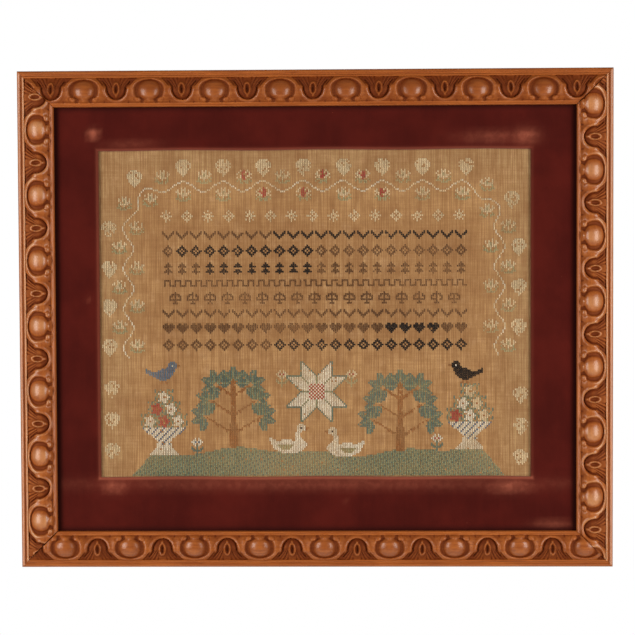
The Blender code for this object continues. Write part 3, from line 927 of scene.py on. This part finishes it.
# %% Border vine, sprigs and berries
SPRIG = (
    "...p.p...",
    ".p.ppp.p.",
    "pp.pyp.pp",
    ".pppyppp.",
    "y.pppppy.",
    ".y..p..y.",
    "yyy.y.yyy",
    "..yyyyy..",
)
RED_SPRIG = (
    "..p.R.p..",
    ".p.RRp.p.",
    "pp.RR.Rpp",
    ".ppRRRpp.",
    "p.pRRpp.p",
    ".yy.R.yy.",
    "y.yyyyy.y",
    "..yy.yy..",
)
BERRY = (
    "..ppppp..",
    ".ppppppp.",
    "ppppppppp",
    "ppppppppp",
    "ppppppppp",
    ".ppppppp.",
    ".ppppppp.",
    "..ppppp..",
    "...ppp...",
    "....p....",
)
VINE_LEFT, VINE_RIGHT, VINE_TOP, VINE_BOTTOM, VINE_CORNER = 16, 229, 20, 118, 24
VINE_WAVE, VINE_SWING = 23.0, 2.8
BERRY_REACH = 11


VINE_SIDE = VINE_BOTTOM - VINE_TOP - VINE_CORNER
VINE_BEND = VINE_CORNER * math.pi / 2
VINE_ACROSS = VINE_RIGHT - VINE_LEFT - 2 * VINE_CORNER


def corner_point(side, turn):
    """A point on a rounded corner, on the left (-1) or the right (1), and the direction out of it."""
    out_x = side * (math.cos(turn) if side < 0 else math.sin(turn))
    out_y = -(math.sin(turn) if side < 0 else math.cos(turn))
    middle = VINE_LEFT + VINE_CORNER if side < 0 else VINE_RIGHT - VINE_CORNER
    return middle + out_x * VINE_CORNER, VINE_TOP + VINE_CORNER + out_y * VINE_CORNER, out_x, out_y


def vine_point(distance):
    """A point on the vine's middle line and the direction out of the sampler there."""
    if distance < VINE_SIDE:
        return VINE_LEFT, VINE_BOTTOM - distance, -1.0, 0.0
    distance -= VINE_SIDE
    if distance < VINE_BEND:
        return corner_point(-1, distance / VINE_CORNER)
    distance -= VINE_BEND
    if distance < VINE_ACROSS:
        return VINE_LEFT + VINE_CORNER + distance, VINE_TOP, 0.0, -1.0
    distance -= VINE_ACROSS
    if distance < VINE_BEND:
        return corner_point(1, distance / VINE_CORNER)
    return VINE_RIGHT, VINE_TOP + VINE_CORNER + distance - VINE_BEND, 1.0, 0.0


def draw_vine():
    """The vine, with a sprig in each of its bends and a berry outside every other bend."""
    length = 2 * VINE_SIDE + 2 * VINE_BEND + VINE_ACROSS
    waves = round(length / VINE_WAVE)
    passed = []
    for step in range(int(length * 3)):
        distance = step / 3
        x, y, out_x, out_y = vine_point(distance)
        swing = VINE_SWING * math.sin(distance / length * waves * 2 * math.pi)
        square = (round(x + out_x * swing), round(y + out_y * swing))
        if square not in passed[-1:]:
            passed.append(square)
    put(*passed[0], "cream")
    last = passed[0]
    for square, after in zip(passed[1:], passed[2:]):
        if abs(after[0] - last[0]) != 1 or abs(after[1] - last[1]) != 1:
            put(*square, "cream" if random.random() < 0.5 else "pale_cream")
            last = square
    for number in range(2 * waves):
        distance = (number + 0.5) / (2 * waves) * length
        x, y, out_x, out_y = vine_point(distance)
        inside = -1 if number % 2 == 0 else 1
        at = (x + out_x * inside * 5, y + out_y * inside * 5)
        near_middle = abs(x - (VINE_LEFT + VINE_RIGHT) / 2) < 50 and y < 30
        picture = RED_SPRIG if near_middle and number % 3 else SPRIG
        draw(picture, round(at[0]) - 4, round(at[1]) - 4, mirrored=number % 4 > 1, kept=0.92)
        if number % 2 == 0:
            draw(BERRY, round(x + out_x * BERRY_REACH) - 4, round(y + out_y * BERRY_REACH) - 4, kept=0.88)


draw_vine()
for row in (132, 150, 168):
    draw(BERRY, 2, row, kept=0.8)
    draw(BERRY, 237, row + 4, kept=0.8)
print("border squares:", len(chart))

# %% Bands of plain repeats
BANDS = {
    "lozenge": ("...n....", "..nnn...", ".nn.nn..", "nn.n.nn.", ".nn.nn..", "..nnn...", "...n...."),
    "zigzag": ("n.....n.", "nn...nn.", ".nn.nn..", "..nnn...", "...n...."),
    "trees": ("...n....", "..nnn...", ".nnnnn..", "...n....", "..nnn...", ".nnnnn..", "...n...."),
    "hearts": (".nn.nn..", "nnnnnnn.", "nnnnnnn.", ".nnnnn..", "..nnn...", "...n...."),
    "battlement": ("nnnn..", "n..n..", "n..n..", "n..nnn"),
    "bells": (
        "....n.....", "..nnnnn...", ".nn.n.nn..", ".n..n..n..", ".nnnnnnn..", "....n.....", "...nnn....",
    ),
}
BAND_LEFT, BAND_RIGHT = 36, 212
BAND_ROWS = (
    {"band": "zigzag", "row": 46, "black": (100, 212)},
    {"band": "lozenge", "row": 54, "black": (44, 120)},
    {"band": "trees", "row": 64, "black": (60, 124)},
    {"band": "battlement", "row": 74, "black": (0, 0)},
    {"band": "bells", "row": 81, "black": (0, 0)},
    {"band": "zigzag", "row": 91, "black": (0, 0)},
    {"band": "hearts", "row": 99, "black": (150, 190)},
    {"band": "lozenge", "row": 108, "black": (96, 212)},
)


def draw_band(facts):
    """One band across the sampler, in thread that has faded brown except on a stretch of it."""
    picture = BANDS[facts["band"]]
    width = len(picture[0])
    repeats = (BAND_RIGHT - BAND_LEFT) // width
    start = BAND_LEFT + (BAND_RIGHT - BAND_LEFT - repeats * width) // 2
    for number in range(repeats):
        column = start + number * width
        fresh = facts["black"][0] <= column < facts["black"][1] and random.random() < 0.9
        draw(picture, column, facts["row"], swap={"n": "k" if fresh else "n"}, kept=0.985)


for facts in BAND_ROWS:
    draw_band(facts)
CROSSLET = ("....p....", "...ppp...", "..p.p.p..", ".ppp.ppp.", "..p.p.p..", "...ppp...", "....p....")
LITTLE_STAR = ("...p...", ".p.p.p.", "..ppp..", "ppp.ppp", "..ppp..", ".p.p.p.", "...p...")
for number in range(15):
    picture = CROSSLET if number % 2 else LITTLE_STAR
    draw(picture, 38 + number * 12 - len(picture[0]) // 2, 34, kept=0.95)
print("squares with the bands:", len(chart))

# %% Motifs by rule: star, leafy trees, flower baskets and bank
def draw_star(column, row, reach):
    """An eight pointed star of cream rhombs with sage seams, a green outline and a checked middle."""
    for x in range(-2 * reach - 1, 2 * reach + 2):
        for y in range(-2 * reach - 1, 2 * reach + 2):
            short, long = sorted((abs(x), abs(y)))
            inside = short <= reach and long <= short + reach
            near = short <= reach + 1 and long <= short + reach + 1
            if inside and long > 4:
                seam = short == 0 or short == long
                put(column + x, row + y, "sage" if seam else "cream", 0.985)
            elif inside:
                put(column + x, row + y, "red" if (x + y) % 2 else "cream")
            elif near:
                put(column + x, row + y, "leaf_green", 0.95)


LEAF_TURNS = (-100, -50, 0, 50, 100)


def draw_spray(column, row, turn):
    """Five pointed leaves spread from one place, as many degrees from upright as the turn says."""
    for leaf_turn in LEAF_TURNS:
        angle = math.radians(turn + leaf_turn)
        ahead = (math.sin(angle), -math.cos(angle))
        for x in range(-9, 10):
            for y in range(-9, 10):
                along = x * ahead[0] + y * ahead[1]
                aside = x * ahead[1] - y * ahead[0]
                if 1 < along < 9 and abs(aside) < 2.3 * math.sin(math.pi * (along - 1) / 8) ** 0.6:
                    put(column + x, row + y, "sage" if abs(aside) < 0.5 else "leaf_green", 0.98)


def draw_tree(column, foot, limbs):
    """A tree of rust coloured limbs with a spray of leaves at each end, its foot on a row."""
    for number in range(limbs):
        low = foot - 8 - 11 * number
        reach = 16 - 3 * number
        for side in (-1, 1):
            for step in range(reach):
                put(column + side * step, low - round(step * 0.6), "rust", 0.95)
                put(column + side * step, low - round(step * 0.6) + 1, "rust", 0.9 - step / reach)
            draw_spray(column + side * reach, low - round(reach * 0.6), 65 * side)
    for row in range(foot - 6 - 11 * limbs, foot + 1):
        half = 2 if row > foot - 14 else 1
        for x in range(-half, half + 1):
            put(column + x, row, "rust", 0.98)
    draw_spray(column, foot - 5 - 11 * limbs, 0)


def draw_basket(column, foot, tiers, colours):
    """A pyramid of round blossoms among leaves in a striped basket, its foot on a row."""
    rim = foot - 15
    for tier in range(tiers):
        for number in range(tiers - tier):
            x = column + 8 * number - 4 * (tiers - tier - 1)
            y = rim - 4 - 7 * tier
            thread = colours[(number + tier) % len(colours)]
            for across in range(-5, 6):
                for down in range(-4, 5):
                    away = math.hypot(across, down)
                    petal = away < 3.1 + 0.6 * math.cos(5 * math.atan2(down, across))
                    if petal:
                        put(x + across, y + down, "rust" if away < 1 else thread, 0.97)
                    elif (x + across, y + down) not in chart and (across * 2 + down) % 5 < 3:
                        put(x + across, y + down, "leaf_green" if across % 2 else "sage", 0.9)
    for row in range(rim, foot + 1):
        down = row - rim
        half = 4 * tiers - round(1.15 * down) if down < 9 else 4 + max(0, down - 11)
        for x in range(-half, half + 1):
            put(column + x, row, "blue" if (x + down) % 4 == 0 and down < 10 else "cream", 0.96)


def bank_top(column):
    """The row where the green bank starts."""
    return 173 + round(1.6 * math.sin(column * 0.055) + 1.2 * math.sin(column * 0.13 + 1))


for column in range(15, 233):
    slope = max(0, 30 - column, column - 218)
    for row in range(bank_top(column) + slope, ROWS_DOWN - 1):
        put(column, row, "leaf_green" if (column + 2 * row) % 5 == 0 else "sage", 0.99)
draw_star(124, 138, 8)
for column in (76, 172):
    draw_tree(column, bank_top(column), 3)
draw_basket(36, bank_top(36), 3, ("cream", "red", "cream"))
draw_basket(212, bank_top(212), 3, ("red", "cream", "pale_cream"))
print("squares with the large motifs:", len(chart))

# %% Motifs charted one by one
SWAN = (
    ".................ccc......",
    "................ccccc.....",
    "................cckccrr...",
    "................cccccr....",
    "................ccc.......",
    "...............ccc........",
    "...............ccc........",
    "...............ccc........",
    "cc.............cccc.......",
    "cccc...cccccc..ccccc......",
    ".cccccccccccccccccccc.....",
    ".ccccccccccccccccccccc....",
    "..cccyyyyyyyyycccccccc....",
    "..ccccyyyyyyycccccccc.....",
    "...ccccyyyyycccccccc......",
    ".....cccccccccccccc.......",
    ".......cccccccccc.........",
)
BIRD = (
    "..............kkk...",
    ".............kkkkk..",
    ".............kkckkrr",
    "............kkkkkk..",
    "k........kkkkkkkk...",
    "kkk....kkkkkkkkkk...",
    "kkkkkkkkkkkkkkkk....",
    "..kkkkkkkkkkkkkk....",
    "....kkkkkkkkkkk.....",
    "......kkkkkkkk......",
    "........kkkk........",
    ".........r.r........",
    "........rr.rr.......",
)
POSY = (
    "...c.c...",
    "..cc.cc..",
    ".ccRcRcc.",
    "..cc.cc..",
    "...clc...",
    ".l..l..l.",
    ".ll.l.ll.",
    "..lllll..",
    "....l....",
    "....l....",
)
draw(SWAN, 97, bank_top(110) - 16)
draw(SWAN, 126, bank_top(138) - 16, mirrored=True)
draw(BIRD, 26, 121, swap={"k": "b"})
draw(BIRD, 200, 121, mirrored=True)
draw(POSY, 51, bank_top(55) - 9, swap={"R": "b"})
draw(POSY, 189, bank_top(193) - 9)
draw(POSY, 100, 126, swap={"c": "p", "l": "y"})
draw(POSY, 140, 126, swap={"c": "p", "l": "y"})
print("squares in all:", len(chart))

# %% [markdown]
# ## Working the stitches
#
# A cross stitch is two slanted strands, the upper one lying over the lower. One strand is a coarse sphere
# drawn out into a spindle, with its ends sunk in the cloth and its middle raised. The cross is copied to
# each square of the chart, turned and stretched a little at random, as no hand pulls two stitches alike.
# Crosses are taller than they are wide, so the linen shows between the columns. Each thread is one piece.

# %% One cross
STRAND_WIDE, STRAND_THICK = 0.72, 0.56
CROSS_WIDE, CROSS_TALL = 1.22, 2.05


def add_strand(bm, lean, lift):
    """One closed strand of a cross, leaning right or left, its middle raised off the cloth."""
    length = math.hypot(CROSS_WIDE, CROSS_TALL) / 2 * MM
    tilt = math.atan2(CROSS_WIDE, CROSS_TALL) * lean
    made = bmesh.ops.create_uvsphere(bm, u_segments=4, v_segments=3, radius=1)
    scale = Matrix.Diagonal((STRAND_WIDE / 2 * MM, STRAND_THICK / 2 * MM, length, 1))
    bmesh.ops.transform(bm, matrix=Matrix.Rotation(tilt, 4, "Y") @ scale, verts=made["verts"])
    ring = [vert for vert in made["verts"] if vert.co.length < length * 0.9]
    bmesh.ops.translate(bm, vec=(0, -lift * MM, 0), verts=ring)


bm = bmesh.new()
add_strand(bm, 1, 0.12)
add_strand(bm, -1, 0.34)
cross = bpy.data.meshes.new("cross")
bm.to_mesh(cross)
bm.free()
print("faces in one cross:", len(cross.polygons))

# %% Threads
THREADS = {
    "cream": {"colour": (248, 236, 208), "faded": (228, 208, 172)},
    "pale_cream": {"colour": (240, 216, 172), "faded": (222, 194, 148)},
    "pale_green": {"colour": (176, 170, 124), "faded": (186, 164, 116)},
    "sage": {"colour": (144, 153, 117), "faded": (160, 158, 115)},
    "leaf_green": {"colour": (88, 122, 110), "faded": (118, 140, 114)},
    "rust": {"colour": (170, 104, 48), "faded": (176, 122, 70)},
    "red": {"colour": (184, 52, 50), "faded": (186, 92, 76)},
    "blue": {"colour": (56, 104, 134), "faded": (92, 128, 144)},
    "black": {"colour": (12, 6, 2), "faded": (30, 17, 8)},
    "faded_brown": {"colour": (98, 62, 32), "faded": (126, 84, 46)},
}
FULLER = {"black": 1.35}


def thread_finish(name, colour, faded):
    """Cotton or silk thread, each stitch a slightly different tone, and faded in patches."""
    made, tree, shader = new_finish(
        "thread_" + name, Roughness=0.75, Specular_IOR_Level=0.3, Sheen_Weight=0.05,
    )
    place = object_place(tree)
    centred = node(tree, "Mapping", {"Vector": place, "Location": (-CHART_LEFT * MM, 0, -CHART_TOP * MM)})
    tones = place_effect(tree, stitch_tone, {"Vector": centred.outputs["Vector"], "Pitch": PITCH * MM})
    sun = place_effect(tree, patches, {"Vector": place, "Scale": 38.0, "Start": 0.4, "Full": 0.66})
    colour = blend_colour(tree, sun["Mask"], seen_colour(*colour), seen_colour(*faded))
    darker = ramp(tree, tones["Tone"], 0.0, 1.0, 0.0, 0.3)
    colour = blend_colour(tree, darker, colour, seen_colour(*(0.6 * c for c in faded)))
    tree.links.new(colour, shader.inputs["Base Color"])
    bump(tree, tones["Twist"], 0.00015, 0.5, shader)
    return made


def square_place(column, row, full):
    """Where a square's cross goes, with a hand's unevenness, and how full its thread is."""
    across = CHART_LEFT + (column + 0.5) * PITCH
    up = CHART_TOP - (row + 0.5) * PITCH
    middle = Vector((across, -LINEN_FRONT - 0.02, up)) * MM
    jitter = Vector((random.gauss(0, 0.05), random.uniform(-0.04, 0.04), random.gauss(0, 0.04))) * MM
    turn = Matrix.Rotation(random.gauss(0, 0.05), 4, "Y")
    stretch = (random.gauss(full, 0.05), random.uniform(0.85, 1.15), random.gauss(1, 0.03), 1)
    return Matrix.Translation(middle + jitter) @ turn @ Matrix.Diagonal(stretch)


def work_thread(name, squares):
    """All the stitches of one thread, as one piece."""
    bm = bmesh.new()
    for column, row in sorted(squares):
        copy = cross.copy()
        copy.transform(square_place(column, row, FULLER.get(name, 1.0)))
        bm.from_mesh(copy)
        bpy.data.meshes.remove(copy)
    mesh = bpy.data.meshes.new(name)
    bm.to_mesh(mesh)
    bm.free()
    material = thread_finish(name, **THREADS[name])
    piece = finish_piece(mesh, "stitches_" + name, material, "linen")
    print(name, "stitches", len(squares), "triangles", triangles_in(mesh))
    return piece


for thread_name in THREADS:
    squares = [square for square, thread in chart.items() if thread == thread_name]
    if squares:
        work_thread(thread_name, squares)

# %% [markdown]
# ## The back: board and brads
#
# From behind, a framed picture shows a plain board held by brads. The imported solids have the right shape,
# so they stay and only get finishes: a grey board with damp marks and scuffs, and dull wire with rust.

# %% Board and wire finishes
board_finish, tree, shader = new_finish("grey_board", Roughness=0.92, Specular_IOR_Level=0.2)
place = object_place(tree)
damp = place_effect(tree, patches, {"Vector": place, "Scale": 7.0, "Start": 0.4, "Full": 0.75})
flecks = place_effect(tree, patches, {"Vector": place, "Scale": 600.0, "Start": 0.58, "Full": 0.7})
colour = blend_colour(tree, damp["Mask"], seen_colour(154, 138, 114), seen_colour(122, 100, 74))
colour = tint(tree, flecks["Mask"], 0.4, colour, seen_colour(88, 74, 58))
tree.links.new(colour, shader.inputs["Base Color"])
bump(tree, flecks["Mask"], 0.0002, 0.4, shader)

wire_finish, tree, shader = new_finish("dull_wire", Metallic=1.0)
place = object_place(tree)
rusted = place_effect(tree, patches, {"Vector": place, "Scale": 500.0, "Start": 0.42, "Full": 0.6})
colour = blend_colour(tree, rusted["Mask"], seen_colour(150, 146, 140), seen_colour(96, 58, 36))
tree.links.new(colour, shader.inputs["Base Color"])
tree.links.new(ramp(tree, rusted["Mask"], 0.0, 1.0, 0.4, 0.85), shader.inputs["Roughness"])

for name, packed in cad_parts.items():
    if name == "backing_board" or name.startswith("brad_"):
        packed.data.materials.clear()
        packed.data.materials.append(board_finish if name == "backing_board" else wire_finish)
